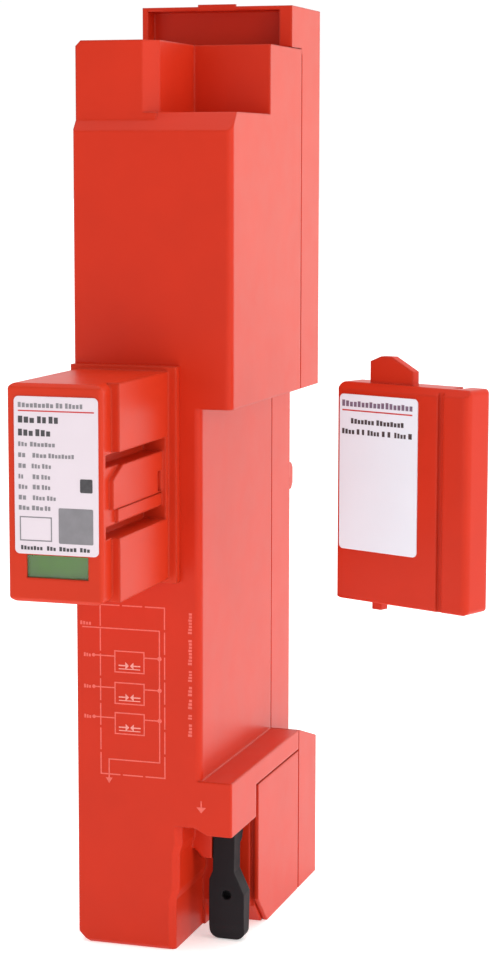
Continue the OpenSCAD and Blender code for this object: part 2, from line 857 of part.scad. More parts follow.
// Strap between an arrester block and its busbar contact
module line_link(i) {
    tab = 3;
    color(copper) in_frame() {
        block(contact_x, contact_x + contact_w, link_y, link_y + strap_t,
              bar_z[i] - contact_h / 2, bar_z[i] + contact_h / 2 + tab);
        block(contact_x, contact_x + contact_w, link_y, link_y + tab,
              bar_z[i] + contact_h / 2 + tab - strap_t, bar_z[i] + contact_h / 2 + tab);
    }
}

// Bent contact: a pad on the bar and two legs that reach forward
module busbar_contact(i) {
    pad = body_d - contact_gap;
    color(copper) in_frame() along_x(contact_x, contact_x + contact_w) difference() {
        translate([leg_y, bar_z[i] - contact_h / 2]) square([pad - leg_y, contact_h]);
        translate([leg_y - over, bar_z[i] - contact_h / 2 + contact_t])
            square([pad - leg_y - contact_t + over, contact_h - 2 * contact_t]);
    }
}

// Common strip beside the blocks, with a tab at the top contact
module neutral_rail() {
    top = bar_z[3] + contact_h / 2;
    color(copper) in_frame() {
        block(rail_x, rail_x + strap_t, rail_y, link_y + strap_t, rail_foot, top);
        block(contact_x, rail_x + strap_t, link_y, link_y + strap_t, bar_z[3] - contact_h / 2, top);
    }
}

// Strap from the common strip down into the clamp cage
module earth_bar() {
    leg_w = cage_size - 2 * cage_wall - 2 * fit;
    leg_x = entry_x - leg_w / 2;
    color(copper) in_frame() {
        block(leg_x, leg_x + leg_w, bar_in_y, bar_in_y + strap_t, floor_t + stop_h, strap_top);
        block(
            min(leg_x, rail_x), max(leg_x + leg_w, rail_x + strap_t), bar_in_y, bar_in_y + strap_t,
            strap_foot, strap_top
        );
    }
}

// Steel tube of square section that the conductor enters from below
module clamp_cage() {
    color(steel) in_frame() difference() {
        block(cage_x, cage_x + cage_size, cage_y, cage_y + cage_d, floor_t + fit, floor_t + fit + cage_h);
        block(
            cage_x + cage_wall, cage_x + cage_size - cage_wall, cage_y + cage_wall,
            cage_y + cage_d - cage_wall, floor_t - over, floor_t + cage_h + over
        );
    }
}

// Folded leaf that presses the conductor against the earth bar
module clamp_spring() {
    leaf_w = cage_size - 2 * cage_wall - 2 * fit;
    y0 = cage_y + cage_wall + fit;
    foot = floor_t + stop_h;
    top = floor_t + fit + cage_h + 2;
    tip_y = bar_in_y - fit - leaf_t;
    color(steel) in_frame() along_x(entry_x - leaf_w / 2, entry_x + leaf_w / 2) polygon([
        [y0, foot], [y0, top - leaf_t], [y0 + leaf_t, top], [y0 + 3 * leaf_t, top],
        [tip_y + leaf_t, foot + 3], [tip_y, foot + 3], [y0 + 2 * leaf_t, top - 2 * leaf_t],
        [y0 + leaf_t, top - 2 * leaf_t], [y0 + leaf_t, foot]
    ]);
}

// Front view of the lever: neck, flare and handle with rounded end corners, drawn below the pin
module lever_outline() {
    neck_l = 8;
    flare_l = 2;
    end_r = 2.2;
    left = handle_off - handle_w / 2;
    right = handle_off + handle_w / 2;
    polygon([
        [-neck_w / 2, 0], [-neck_w / 2, -neck_l], [left, -neck_l - flare_l], [left, end_r - lever_l],
        [right, end_r - lever_l], [right, -neck_l - 2.5 * flare_l], [neck_w / 2, -neck_l], [neck_w / 2, 0]
    ]);
    translate([left + end_r, -lever_l]) square([handle_w - 2 * end_r, end_r + over]);
    for (x = [left + end_r, right - end_r]) translate([x, end_r - lever_l]) circle(end_r);
}

// Black lever with its barrel, cam and thumb dimple
module earth_lever() {
    front = pin_y - handle_t / 2 - 1;
    back = front + handle_t;
    dimple_r = 1.1;
    dimple_z = pin_z - 0.56 * lever_l;
    cam_r = 2.2;
    color(black) in_frame() difference() {
        union() {
            intersection() {
                along_y(front - over, back + over) translate([lever_x, pin_z]) lever_outline();
                along_x(lever_x - handle_w, lever_x + handle_w) polygon([
                    [pin_y - barrel_r, pin_z], [front, pin_z - lever_l / 2],
                    [front, pin_z - 0.85 * lever_l],
                    [front + 1, pin_z - lever_l - over], [back - 1, pin_z - lever_l - over],
                    [back, pin_z - lever_l / 2], [pin_y + barrel_r - 1, pin_z]
                ]);
            }
            for (part = [[0, barrel_r], [barrel_r - cam_r + 1, cam_r]])
                translate([lever_x - neck_w / 2, pin_y + part[0], pin_z])
                    rotate([0, 90, 0]) cylinder(r = part[1], h = neck_w);
        }
        translate([lever_x - neck_w, pin_y, pin_z])
            rotate([0, 90, 0]) cylinder(r = pin_r + run_fit, h = 1.5 * neck_w - pin_skin);
        translate([lever_x + handle_off, front - over, dimple_z])
            rotate([-90, 0, 0]) cylinder(r = dimple_r, h = 2 * over + 1);
    }
}

// Steel pin of the lever
module lever_pin() {
    color(steel) in_frame() translate([pin_left, pin_y, pin_z])
        rotate([0, 90, 0]) cylinder(r = pin_r, h = pin_right - pin_left);
}

// Plate over the terminal's right side
module terminal_cover() {
    color(house_red) in_frame() along_x(cover_x, body_w) polygon([
        [channel_d + cover_bevel, 0], [channel_d, cover_bevel], [channel_d, cover_h],
        [front_d - fit, cover_h], [front_d - fit, 0]
    ]);
}

// Slide that catches the lowest bar from below
module busbar_latch() {
    lip = body_d + hook_gap;
    pocket_top = latch_stop_z + stop_h + fit + latch_spring_l + fit;
    slot_z = latch_foot + 2;
    color(black) in_frame() {
        difference() {
            latch_form(0, latch_face, latch_foot, flange_foot, latch_top);
            block(
                mid_x - pocket_w / 2, mid_x + pocket_w / 2, latch_in - over, latch_face - latch_skin,
                latch_stop_z - slide_fit, pocket_top
            );
            block(mid_x - latch_w / 4, mid_x + latch_w / 4, latch_in - over, latch_face + over,
                  slot_z, slot_z + stop_h);
        }
        along_x(latch_x, latch_x + latch_w) polygon([
            [latch_face - over, latch_top], [lip, latch_top], [lip, latch_top + hook_lip],
            [lip + hook_t / 2, latch_top + hook_lip], [lip + hook_t, latch_top + hook_lip - hook_t / 2],
            [lip + hook_t, latch_top - hook_h + hook_t / 2], [lip + hook_t / 2, latch_top - hook_h],
            [latch_face - over, latch_top - hook_h]
        ]);
    }
}

// Coil spring between the latch slide and its stop
module latch_spring() {
    color(steel) in_frame() translate([
        mid_x, latch_in + latch_spring_r + wire_r + fit, latch_stop_z + stop_h + fit
    ]) coil(latch_spring_r, latch_spring_l, 8);
}

// Places the cap beside the body
module beside_body() {
    in_frame() translate([body_w + cap_off, cap_back, cap_rise]) rotate([0, 0, cap_turn]) children();
}

// Snap tab on top of the cap, with a falling top
module cap_tab() {
    front = cap_wall + over;
    along_y(front, front + tab_t) polygon([
        [tab_x, cap_h - over], [tab_x + tab_w, cap_h - over], [tab_x + tab_w, cap_h + 0.5 * tab_h],
        [tab_x + 0.5 * tab_w, cap_h + tab_h], [tab_x + 0.25 * tab_w, cap_h + tab_h],
        [tab_x, cap_h + 0.8 * tab_h]
    ]);
}

// Cover cap, hollow from behind
module cover_cap() {
    nub_w = 2.4;
    nub_l = 2.2;
    notch_w = 2.2;
    notch_x = cap_w - 3 * notch_w;
    color(nose_red) beside_body() {
        difference() {
            intersection() {
                linear_extrude(cap_h) front_rounded(cap_w, cap_d, left_r, edge_r);
                along_y(-over, cap_d + over) rounded_rect(cap_w, cap_h, cap_r);
                along_x(-over, cap_w + over) polygon([
                    [0, left_r], [left_r, 0], [cap_d, 0], [cap_d, cap_h], [cap_brow, cap_h],
                    [0, cap_h - cap_brow]
                ]);
            }
            block(cap_wall, cap_w - cap_wall, cap_face, cap_d + over,
                  cap_wall, cap_h - cap_face - cap_brow / 2);
            block(cap_panel_w, cap_panel_w + cap_groove_w, -over, cap_groove, -over, cap_h + over);
            block(notch_x, notch_x + notch_w, cap_d / 2, cap_d + over,
                  cap_h - cap_wall - over, cap_h + over);
        }
        cap_tab();
        block(tab_x, tab_x + nub_w, cap_d / 2, cap_d - cap_wall, -nub_l, cap_wall / 2);
    }
}

// White label on the cap's panel
module cap_label() {
    margin = 0.8;
    color(white) beside_body() along_y(-label_t, 0)
        translate([margin, cap_h - cap_label_top - cap_label_h])
            rounded_rect(cap_label_w, cap_label_h, label_r);
}

front_housing();
rear_housing();
nose_housing();
nose_label();
status_window();
status_flag();
fault_plate();
trip_bar();
trip_spring();
arrester(0);  // arrester_1
arrester(1);  // arrester_2
arrester(2);  // arrester_3
line_link(0);  // line_link_1
line_link(1);  // line_link_2
line_link(2);  // line_link_3
busbar_contact(0);  // busbar_contact_1
busbar_contact(1);  // busbar_contact_2
busbar_contact(2);  // busbar_contact_3
busbar_contact(3);  // busbar_contact_4
neutral_rail();
earth_bar();
clamp_cage();
clamp_spring();
earth_lever();
lever_pin();
terminal_cover();
busbar_latch();
latch_spring();
cover_cap();
cap_label();
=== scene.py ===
import math

import bmesh
import bpy
from mathutils import Matrix, Vector


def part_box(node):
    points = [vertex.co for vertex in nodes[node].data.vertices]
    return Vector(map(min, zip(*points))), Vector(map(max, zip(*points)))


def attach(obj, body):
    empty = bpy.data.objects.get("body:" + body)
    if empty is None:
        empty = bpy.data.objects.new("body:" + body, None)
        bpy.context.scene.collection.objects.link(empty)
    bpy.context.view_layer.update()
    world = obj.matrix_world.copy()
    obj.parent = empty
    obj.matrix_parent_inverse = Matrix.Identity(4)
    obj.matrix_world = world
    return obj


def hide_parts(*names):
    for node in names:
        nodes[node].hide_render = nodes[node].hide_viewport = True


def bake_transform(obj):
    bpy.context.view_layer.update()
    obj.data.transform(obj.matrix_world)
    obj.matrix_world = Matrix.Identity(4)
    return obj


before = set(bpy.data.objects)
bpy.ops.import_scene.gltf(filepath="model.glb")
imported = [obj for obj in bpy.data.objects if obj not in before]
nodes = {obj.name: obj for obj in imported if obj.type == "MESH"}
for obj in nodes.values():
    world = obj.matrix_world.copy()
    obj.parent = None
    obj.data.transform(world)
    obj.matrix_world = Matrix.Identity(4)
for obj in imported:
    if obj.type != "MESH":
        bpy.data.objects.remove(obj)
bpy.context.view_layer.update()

# One millimetre, and the corner of the body from which the sizes below are measured
MM = 0.001
CORNER = Vector((-0.018, -0.068, -0.111))

# Camera: place, turn, tilt and roll, and its focal length over the height of the picture
CAMERA_AT = (0.1709, -0.5459, 0.0618)
CAMERA_YAW = 17.37
CAMERA_PITCH = 7.53
CAMERA_ROLL = 0.10
FOCAL_SHARE = 2359 / 956
SENSOR = 24

# Nose label: place of its lower left corner on the nose, and its size
NOSE_LABEL_AT = (1.55, -37.3, 94.3)
NOSE_LABEL_W = 18.2
NOSE_LABEL_H = 32.3
# Cap: place of its lower left corner and its turn, and its label's place and size
CAP_AT = (56.4, 11.1, 79.7)
CAP_TURN = -23.5
CAP_LABEL_AT = (0.8, 11.1)
CAP_LABEL_W = 20.8
CAP_LABEL_H = 33.6
LABEL_R = 1.0
LABEL_T = 0.3
# Thickness of printed ink, and of a label's card under it
INK = 0.03
CARD = LABEL_T - INK
# Share of the ink's thickness in level and in upright strokes, and the steps of a card's corner
LEVEL_INK = 0.6
UPRIGHT_INK = 0.8
CARD_STEPS = 8

# Rows of print on the nose label: middle below the label's top, height, and the spans of its words
NOSE_TITLE = [(1.75, 1.05, [(0.9, 8.6), (9.2, 10.6), (11.2, 14.9)])]
NOSE_BOLD = [
    (4.72, 1.4, [(0.9, 4.4), (5.1, 7.0), (7.6, 9.6)]),
    (7.37, 1.4, [(0.9, 4.1), (4.7, 7.9)]),
    (31.0, 0.9, [(1.3, 6.0), (7.0, 8.9), (9.7, 13.4), (14.2, 16.3)]),
]
NOSE_TEXT = [
    (9.75, 0.95, [(0.9, 2.8), (3.5, 8.9)]),
    (12.0, 0.95, [(0.9, 2.4), (4.0, 7.0), (7.5, 13.0)]),
    (14.2, 0.95, [(0.9, 2.5), (3.8, 5.6), (6.1, 8.0)]),
    (16.4, 0.95, [(0.9, 1.9), (4.0, 5.4), (5.9, 7.8)]),
    (18.5, 0.95, [(0.9, 2.8), (4.0, 5.5), (6.0, 7.8)]),
    (20.7, 0.95, [(0.9, 2.5), (4.0, 6.6), (7.1, 9.0)]),
    (22.8, 0.95, [(0.9, 3.2), (3.8, 6.2), (6.6, 7.8)]),
]
# Thin rule on the nose label: middle below the label's top, height, left and right end
NOSE_RULE = (2.95, 0.28, 0.9, 17.4)
# Plain fields on the nose label: left, right, top and bottom below the label's top
NOSE_FIELD = (9.6, 17.1, 22.6, 29.9)
NOSE_SQUARE = (14.3, 17.0, 16.5, 19.3)
NOSE_FRAME = (1.2, 8.0, 24.7, 29.5)
NOSE_FRAME_W = 0.25
FIELD_R = 0.3

# Rows of print and the thin rule on the cap's label
CAP_TITLE = [(1.95, 1.35, [(0.7, 12.0), (12.4, 19.5)])]
CAP_TEXT = [
    (5.7, 1.15, [(3.1, 9.3), (10.0, 17.2)]),
    (8.0, 1.15, [(0.7, 4.0), (4.7, 5.4), (6.1, 6.7), (7.6, 10.7),
                 (11.5, 12.2), (13.0, 13.7), (14.8, 17.8), (18.5, 19.4)]),
]
CAP_RULE = (3.45, 0.3, 0.7, 19.5)

# Printed circuit on the column: dashed frame, leads, boxes and earth run, from the body's corner
LINE_W = 0.28
DASH = (4.4, 0.9)
CIRCUIT_FRAME = (5.6, 20.6, 39.1, 77.2)
RISER_X = 19.4
TOP_LEAD_Z = 72.0
RUN_Z = 42.5
EARTH_X = 7.5
EARTH_Z = 37.2
BOX_X = (9.0, 15.8)
BOX_H = 4.7
BOX_FOOT = (62.3, 55.2, 48.4)
LEAD_RISE = 3.5
LEAD_X = 2.7
DOT_R = 0.5
# Left ends of the leads and their dots, from the place of the leads
TOP_LEAD_END = -1.2
LEAD_END = 1.5
LEAD_DOT = 1.3
LEAD_DOT_R = 0.4
# Arrow head of the earth run: its stem's end, and its tip, shoulders and half width
EARTH_STEM = 0.8
EARTH_TIP = -0.2
EARTH_SHOULDER = 1.1
EARTH_HALF = 0.8
# Gap in a box: height over the box's foot, half width, room at the box's sides, and its two heads
GAP_RISE = 1.5
GAP_HALF = 0.9
BOX_INSET = 1
HEAD_FAR = 0.95
HEAD_NEAR = 0.12
HEAD_HALF = 0.8
# Thin line at the foot of a box
FOOT_RISE = 0.75
FOOT_W = 0.2
# Small print at the leads' ends: its spans, height, and rise of the top lead's print
LEAD_PRINT = (1.7, 3.3)
TOP_LEAD_PRINT = (0.9, 3.4)
LEAD_PRINT_H = 0.85
TOP_LEAD_PRINT_RISE = 0.9
# Upright line of small print beside the circuit
SIDE_PRINT = [(26.45, 0.9, [(48.9, 51.7), (52.8, 53.8), (55.1, 57.2), (58.0, 60.1), (61.2, 63.6),
                            (64.9, 70.5), (71.8, 76.4)])]
# Small arrow over the terminal: place, stem's rise, and its head's drop, half width and shoulder
ARROW_AT = (29.0, 33.0)
ARROW_STEM = 1.5
ARROW_DROP = 1.1
ARROW_SHOULDER = 0.2
# Bars of a word: gap and pitch over the row's height, and the heights of the bars after the first
WORD_GAP = 0.22
WORD_PITCH = 0.8
BAR_HEIGHTS = (0.78, 0.9, 0.74)

# Coil springs: radius of the wire, turns of each, and how finely the wire is drawn
WIRE_R = 0.3
TRIP_TURNS = 7
LATCH_TURNS = 8
TURN_STEPS = 28
WIRE_SIDES = 10

# Sizes of the patches of edge wear and painted highlight and of the gloss patches, and the turn of the
# surface at which an edge counts as one
RUB_AND_HIGHLIGHT_PATCH = 0.004
GLOSS_PATCH = 0.006
EDGE_TURN = (0.72, 0.985)
EDGE_SAMPLES = 6
# Range of the noise that is spread over clouds and gloss, and over the edges' wear and painted highlight,
# and the least of that wear and painted highlight on an edge
NOISE_SPAN = (0.3, 0.7)
RUB_AND_HIGHLIGHT_SPAN = (0.35, 0.7)
RUB_AND_HIGHLIGHT_LEAST = 0.25
# Colour of an edge, lighter for wear and a painted highlight, over the surface's own, and the detail of the
# grain's noise
RUBBED_AND_HIGHLIT_SHARE = 1.3
GRAIN_DETAIL = 2.0


def shader_node(tree, kind, inputs=None, **settings):
    """A new shader node with its settings and the constant values of its sockets."""
    made = tree.nodes.new(kind)
    for key, value in settings.items():
        setattr(made, key, value)
    for key, value in (inputs or {}).items():
        made.inputs[key].default_value = value
    return made


def noise(tree, coords, size, detail=3.0):
    """Noise with features of about that size in metres."""
    made = shader_node(tree, "ShaderNodeTexNoise", {"Scale": 1 / size, "Detail": detail})
    tree.links.new(coords, made.inputs["Vector"])
    return made.outputs["Fac"]


def ramp(tree, value, low, high, to_low, to_high):
    """The value carried from one range to another."""
    made = shader_node(tree, "ShaderNodeMapRange", {1: low, 2: high, 3: to_low, 4: to_high})
    tree.links.new(value, made.inputs[0])
    return made.outputs[0]


def mixed(tree, factor, first, second):
    """A mix of two colours; each is a colour or a socket."""
    made = shader_node(tree, "ShaderNodeMix", data_type="RGBA")
    tree.links.new(factor, made.inputs[0])
    for slot, colour in ((6, first), (7, second)):
        if isinstance(colour, bpy.types.NodeSocket):
            tree.links.new(colour, made.inputs[slot])
        else:
            made.inputs[slot].default_value = (*colour, 1)
    return made.outputs[2]


def product(tree, first, second):
    """The product of two values."""
    made = shader_node(tree, "ShaderNodeMath", operation="MULTIPLY")
    tree.links.new(first, made.inputs[0])
    tree.links.new(second, made.inputs[1])
    return made.outputs[0]


def shade(colour, share):
    """A colour made darker or lighter."""
    return tuple(min(1.0, c * share) for c in colour)


def finish_of(name, colour, rough, tint=0.06, cloud=0.02, grain=0.0003, bump=0.12, depth=0.00002,
              round_edge=0.0004, rubbed_and_highlit=None, wear=0.5, gloss=0.06, stretch=(1, 1, 1), **sockets):
    """A surface with cloudy colour, fine grain, uneven gloss, softened edges, and wear and a painted
    highlight along them.
    """
    mat = bpy.data.materials.new(name)
    mat.use_nodes = True
    tree = mat.node_tree
    tree.nodes.clear()
    out = shader_node(tree, "ShaderNodeOutputMaterial")
    bsdf = shader_node(tree, "ShaderNodeBsdfPrincipled", sockets)
    tree.links.new(bsdf.outputs[0], out.inputs["Surface"])
    place = shader_node(tree, "ShaderNodeTexCoord")
    mapping = shader_node(tree, "ShaderNodeMapping", {"Scale": stretch})
    tree.links.new(place.outputs["Object"], mapping.inputs["Vector"])
    coords = mapping.outputs["Vector"]

    clouds = ramp(tree, noise(tree, coords, cloud), *NOISE_SPAN, 0, 1)
    paint = mixed(tree, clouds, shade(colour, 1 - tint), shade(colour, 1 + tint))
    rounded_edge = shader_node(tree, "ShaderNodeBevel", {"Radius": round_edge}, samples=EDGE_SAMPLES)
    flat = shader_node(tree, "ShaderNodeNewGeometry")
    dot = shader_node(tree, "ShaderNodeVectorMath", operation="DOT_PRODUCT")
    tree.links.new(rounded_edge.outputs["Normal"], dot.inputs[0])
    tree.links.new(flat.outputs["Normal"], dot.inputs[1])
    # Edges are painted lighter: partly wear, partly a painted highlight along them.
    edge = ramp(tree, dot.outputs["Value"], *EDGE_TURN, 1, 0)
    patchy = ramp(tree, noise(tree, coords, RUB_AND_HIGHLIGHT_PATCH), *RUB_AND_HIGHLIGHT_SPAN, RUB_AND_HIGHLIGHT_LEAST, wear)
    edge_tone_rubbed_and_highlit = rubbed_and_highlit or shade(colour, RUBBED_AND_HIGHLIT_SHARE)
    colour_out = mixed(tree, product(tree, edge, patchy), paint, edge_tone_rubbed_and_highlit)
    tree.links.new(colour_out, bsdf.inputs["Base Color"])

    sheen = ramp(tree, noise(tree, coords, GLOSS_PATCH), *NOISE_SPAN, rough - gloss, rough + gloss)
    tree.links.new(sheen, bsdf.inputs["Roughness"])
    relief = shader_node(tree, "ShaderNodeBump", {"Strength": bump, "Distance": depth})
    tree.links.new(noise(tree, coords, grain, GRAIN_DETAIL), relief.inputs["Height"])
    tree.links.new(rounded_edge.outputs["Normal"], relief.inputs["Normal"])
    tree.links.new(relief.outputs["Normal"], bsdf.inputs["Normal"])
    return mat


# Settings that several finishes share
MOULDED = {"tint": 0.03, "cloud": 0.012, "grain": 0.0008, "bump": 0.08, "round_edge": 0.0007,
           "wear": 0.4, "gloss": 0.018}
PAPER = {"tint": 0.02, "grain": 0.00015, "bump": 0.05, "round_edge": 0.0001}
METAL = {"bump": 0.05, "Metallic": 1.0}
PRINT = {"bump": 0.03, "round_edge": 0.00001}
FINE = 0.0008
SPECULAR = "Specular IOR Level"

# Each finish's lighter edge colour stands partly for wear and partly for a painted highlight.
looks = {
    "housing_red": finish_of("housing_red", (0.57, 0.0275, 0.0080), 0.34, rubbed_and_highlit=(0.70, 0.065, 0.034),
                             **MOULDED, **{SPECULAR: 0.16}),
    "nose_red": finish_of("nose_red", (0.575, 0.034, 0.0110), 0.36, rubbed_and_highlit=(0.70, 0.075, 0.04),
                          **MOULDED, **{SPECULAR: 0.14}),
    "label_white": finish_of("label_white", (0.71, 0.625, 0.69), 0.45, rubbed_and_highlit=(0.86, 0.84, 0.86), **PAPER),
    "window_clear": finish_of("window_clear", (0.92, 0.95, 0.93), 0.12, tint=0.01, bump=0.02,
                              round_edge=0.0002,
                              **{"Transmission Weight": 1.0, "IOR": 1.49, SPECULAR: 0.12}),
    "flag_green": finish_of("flag_green", (0.11, 0.33, 0.012), 0.5, bump=0.06, **{SPECULAR: 0.06}),
    "fault_red": finish_of("fault_red", (0.62, 0.02, 0.012), 0.5, bump=0.06),
    "inner_black": finish_of("inner_black", (0.018, 0.018, 0.02), 0.45, tint=0.2, rubbed_and_highlit=(0.06, 0.06, 0.06)),
    "lever_black": finish_of("lever_black", (0.015, 0.0125, 0.015), 0.62, tint=0.15, bump=0.2,
                             rubbed_and_highlit=(0.05, 0.045, 0.047), wear=0.7, **{SPECULAR: 0.12}),
    "spring_steel": finish_of("spring_steel", (0.55, 0.55, 0.56), 0.28, tint=0.08, round_edge=0.0001,
                              stretch=(1, 1, 6), **METAL),
    "block_grey": finish_of("block_grey", (0.16, 0.165, 0.175), 0.5, rubbed_and_highlit=(0.26, 0.26, 0.27)),
    "strap_copper": finish_of("strap_copper", (0.72, 0.33, 0.18), 0.3, tint=0.12, round_edge=0.0002,
                              stretch=(1, 1, 8), **METAL),
    "contact_silver": finish_of("contact_silver", (0.50, 0.48, 0.45), 0.30, tint=0.15, round_edge=0.0002,
                                stretch=(6, 1, 1), **METAL),
}
cap_white = finish_of("cap_white", (0.79, 0.84, 0.93), 0.45, rubbed_and_highlit=(0.86, 0.88, 0.92), **PAPER)
print_dark = finish_of("print_dark", (0.045, 0.042, 0.048), 0.42, tint=0.3, cloud=FINE, **PRINT)
print_grey = finish_of("print_grey", (0.21, 0.20, 0.22), 0.42, tint=0.08, cloud=0.003, **PRINT)
print_violet = finish_of("print_violet", (0.17, 0.12, 0.19), 0.42, tint=0.2, cloud=FINE, **PRINT)
print_red = finish_of("print_red", (0.55, 0.03, 0.03), 0.42, tint=0.1, cloud=FINE, **PRINT)
print_pale = finish_of("print_pale", (0.76, 0.115, 0.085), 0.45, tint=0.1, cloud=FINE, **PRINT)
print_white = finish_of("print_white", (0.80, 0.30, 0.26), 0.45, tint=0.1, cloud=FINE, **PRINT)

# The solids that take each finish
SLOT_OF = {
    "housing_red": ["front_housing", "rear_housing", "terminal_cover", "cover_cap"],
    "nose_red": ["nose_housing"],
    "label_white": ["nose_label", "cap_label"],
    "window_clear": ["status_window"],
    "flag_green": ["status_flag"],
    "fault_red": ["fault_plate"],
    "inner_black": ["trip_bar"],
    "lever_black": ["earth_lever", "busbar_latch"],
    "spring_steel": ["trip_spring", "latch_spring", "clamp_cage", "clamp_spring", "lever_pin"],
    "block_grey": ["arrester_1", "arrester_2", "arrester_3"],
    "strap_copper": ["line_link_1", "line_link_2", "line_link_3", "neutral_rail", "earth_bar"],
    "contact_silver": ["busbar_contact_1", "busbar_contact_2", "busbar_contact_3", "busbar_contact_4"],
}
for slot_name, members in SLOT_OF.items():
    for member in members:
        nodes[member].data.materials.clear()
        nodes[member].data.materials.append(looks[slot_name])


def add_object(name, bm, mat):
    """A mesh object from that form, with its faces turned outwards."""
    bmesh.ops.recalc_face_normals(bm, faces=bm.faces)
    mesh = bpy.data.meshes.new(name)
    bm.to_mesh(mesh)
    bm.free()
    mesh.materials.append(mat)
    obj = bpy.data.objects.new(name, mesh)
    bpy.context.scene.collection.objects.link(obj)
    return obj


def face_frame(corner, turn=0.0, inset=(0, 0)):
    """A face that looks to the front: right, up and outwards from its lower left corner, in mm."""
    to_row = Matrix(((MM, 0, 0, 0), (0, 0, -MM, 0), (0, MM, 0, 0), (0, 0, 0, 1)))
    turned = Matrix.Rotation(math.radians(turn), 4, "Z")
    moved = Matrix.Translation(CORNER + Vector(corner) * MM) @ turned
    return moved @ to_row @ Matrix.Translation((*inset, 0))


def prism(bm, face, outline, low, high):
    """A flat piece of that outline, standing from low to high out of the face."""
    rings = [[bm.verts.new(face @ Vector((u, v, w))) for u, v in outline] for w in (low, high)]
    bm.faces.new(rings[0][::-1])
    bm.faces.new(rings[1])
    for i in range(len(outline)):
        j = (i + 1) % len(outline)
        bm.faces.new((rings[0][i], rings[0][j], rings[1][j], rings[1][i]))


def rectangle(u0, u1, v0, v1):
    """Outline of a rectangle."""
    return [(u0, v0), (u1, v0), (u1, v1), (u0, v1)]


def rounded(u0, u1, v0, v1, radius, steps=5):
    """Outline of a rectangle with rounded corners."""
    points = []
    for k, (u, v) in enumerate(((u1 - radius, v1 - radius), (u0 + radius, v1 - radius),
                                (u0 + radius, v0 + radius), (u1 - radius, v0 + radius))):
        for i in range(steps + 1):
            angle = math.pi / 2 * (k + i / steps)
            points.append((u + radius * math.cos(angle), v + radius * math.sin(angle)))
    return points


def line(start, end, width=LINE_W):
    """Outline of a straight stroke."""
    a, b = Vector(start), Vector(end)
    along = (b - a).normalized() * width / 2
    side = Vector((-along.y, along.x))
    corners = (a - along - side, b + along - side, b + along + side, a - along + side)
    return [tuple(p) for p in corners]


def loop_lines(u0, u1, v0, v1, width=LINE_W):
    """The four strokes of an empty rectangle."""
    corners = rectangle(u0, u1, v0, v1)
    return [line(corners[i], corners[(i + 1) % 4], width) for i in range(4)]


def dashes(start, end):
    """Strokes of a dashed line."""
    a, b = Vector(start), Vector(end)
    length = (b - a).length
    count = max(1, round((length + DASH[1]) / sum(DASH)))
    step = (length + DASH[1]) / count
    way = (b - a) / length
    return [line(a + way * step * i, a + way * (step * (i + 1) - DASH[1])) for i in range(count)]


def disc(u, v, radius, steps=20):
    """Outline of a dot."""
    turn = 2 * math.pi / steps
    return [(u + radius * math.cos(turn * i), v + radius * math.sin(turn * i)) for i in range(steps)]


def words(rows, top=None):
    """Short bars along those rows, which run to the right below a top, or upwards without one."""
    found = []
    for middle, height, spans in rows:
        for start, end in spans:
            gap = WORD_GAP * height
            count = max(1, round((end - start + gap) / (WORD_PITCH * height)))
            step = (end - start + gap) / count
            for i in range(count):
                tall = height * (1 if i == 0 else BAR_HEIGHTS[i % len(BAR_HEIGHTS)])
                u0, u1 = start + step * i, start + step * (i + 1) - gap
                if top is None:
                    right = middle + height / 2
                    found.append(rectangle(right - tall, right, u0, u1))
                else:
                    foot = top - middle - height / 2
                    found.append(rectangle(u0, u1, foot, foot + tall))
    return found


def field(left, right, top, bottom, high):
    """A plain field of a label."""
    return rounded(left, right, high - bottom, high - top, FIELD_R)


def rule_bar(row, high):
    """A thin straight bar across a label."""
    middle, height, left, right = row
    return [rectangle(left, right, high - middle - height / 2, high - middle + height / 2)]


def ink_height(outline):
    """Thickness of a stroke: level ones lowest, then upright ones, then the rest, so no faces coincide."""
    if len(outline) != 4:
        return INK
    wide = max(p[0] for p in outline) - min(p[0] for p in outline)
    tall = max(p[1] for p in outline) - min(p[1] for p in outline)
    return INK * (LEVEL_INK if wide >= tall else UPRIGHT_INK)


def printed(name, face, outlines, mat, low=0.0):
    """A layer of ink on a face of the housing."""
    bm = bmesh.new()
    for outline in outlines:
        prism(bm, face, outline, low, low + ink_height(outline))
    obj = add_object(name, bm, mat)
    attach(obj, "housing")


def label_card(name, node, face, width, height, mat):
    """A label with rounded corners, so thin that its print stays in the solid that it stands for."""
    bm = bmesh.new()
    prism(bm, face, rounded(0, width, 0, height, LABEL_R, CARD_STEPS), 0, CARD)
    obj = add_object(name, bm, mat)
    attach(obj, "housing")
    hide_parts(node)


nose_face = face_frame(NOSE_LABEL_AT)
label_card("nose_label_card", "nose_label", nose_face, NOSE_LABEL_W, NOSE_LABEL_H, looks["label_white"])
dark = words(NOSE_BOLD, NOSE_LABEL_H) + [field(*NOSE_SQUARE, NOSE_LABEL_H)]
grey = words(NOSE_TEXT + NOSE_TITLE, NOSE_LABEL_H) + [field(*NOSE_FIELD, NOSE_LABEL_H)]
left, right, top, bottom = NOSE_FRAME
grey += loop_lines(left, right, NOSE_LABEL_H - bottom, NOSE_LABEL_H - top, NOSE_FRAME_W)
printed("nose_print_dark", nose_face, dark, print_dark, CARD)
printed("nose_print_grey", nose_face, grey, print_grey, CARD)
printed("nose_rule", nose_face, rule_bar(NOSE_RULE, NOSE_LABEL_H), print_red, CARD)

cap_face = face_frame(CAP_AT, CAP_TURN, CAP_LABEL_AT)
label_card("cap_label_card", "cap_label", cap_face, CAP_LABEL_W, CAP_LABEL_H, cap_white)
printed("cap_print_title", cap_face, words(CAP_TITLE, CAP_LABEL_H), print_violet, CARD)
printed("cap_print_text", cap_face, words(CAP_TEXT, CAP_LABEL_H), print_dark, CARD)
printed("cap_rule", cap_face, rule_bar(CAP_RULE, CAP_LABEL_H), print_red, CARD)


